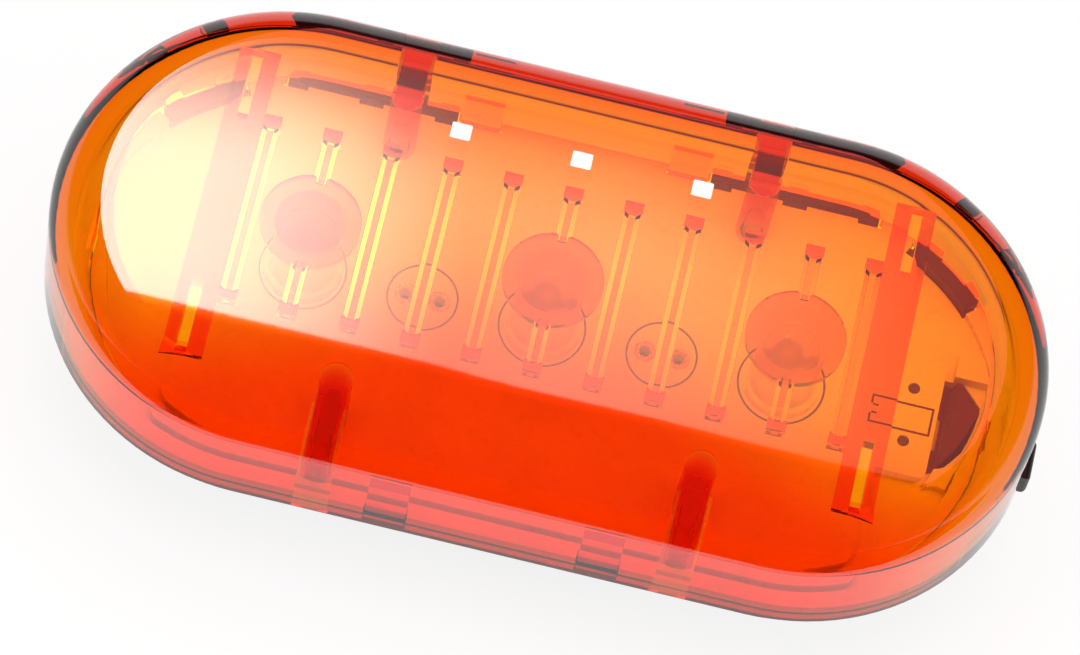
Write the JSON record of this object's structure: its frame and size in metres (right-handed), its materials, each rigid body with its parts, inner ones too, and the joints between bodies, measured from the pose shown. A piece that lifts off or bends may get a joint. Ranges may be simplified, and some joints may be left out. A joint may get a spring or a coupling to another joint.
{
  "type": "bicycle tail light",
  "caption": "Racetrack-shaped bicycle tail light: translucent amber-red lens over LEDs on a board, black battery case with a bracket rail, sprung push button.",
  "frame": {"origin": "centre of the back face of the bracket rail, on the light's middle line", "axes": "+Z out of the lens, +X along the light towards the push button, +Y across it towards the side with the lens keys"},
  "size_m": [0.0744, 0.035, 0.0257],
  "materials": {
    "amber_lens": "gloss",
    "black_case": "satin",
    "cell_jacket": "satin",
    "nickel": "satin",
    "white_frame": "gloss",
    "white_board": "gloss",
    "steel_screw": "satin",
    "chip_black": "matte",
    "ceramic_tan": "satin",
    "switch_black": "satin",
    "switch_white": "satin",
    "black_rubber": "matte",
    "resistor_black": "satin",
    "led_clear": "gloss"
  },
  "bodies": {
    "case_body": {"rear_case": "black_case", "cell_upper": "cell_jacket", "cell_lower": "cell_jacket", "contact_bridge": "nickel", "contact_positive": "nickel", "contact_negative": "nickel", "spring_bridge": "nickel", "spring_negative": "nickel"},
    "lens_body": {"lens_cover": "amber_lens", "inner_frame": "white_frame", "circuit_board": "white_board", "board_screws": "steel_screw", "controller_chip": "chip_black", "capacitor": "ceramic_tan", "switch_body": "switch_black", "resistor_1": "resistor_black", "resistor_2": "resistor_black", "resistor_3": "resistor_black", "led_left": "led_clear", "led_centre": "led_clear", "led_right": "led_clear"},
    "button_body": {"push_button": "black_rubber"},
    "plunger_body": {"switch_plunger": "switch_white"}
  },
  "joints": [
    {"name": "lens_unit_lift", "type": "slide", "parent": "case_body", "child": "lens_body", "axis": [0, 0, 1], "range_m": [0, 0.03]},
    {"name": "button_press", "type": "slide", "parent": "lens_body", "child": "button_body", "axis": [-1, 0, 0], "range_m": [0, 0.0005], "stiffness_N_per_m": 1000},
    {"name": "plunger_press", "type": "slide", "parent": "lens_body", "child": "plunger_body", "axis": [-1, 0, 0], "range_m": [0, 0.0004]}
  ],
  "couplings": [
    {"joint": "plunger_press", "follows": "button_press", "ratio": 0.6}
  ]
}
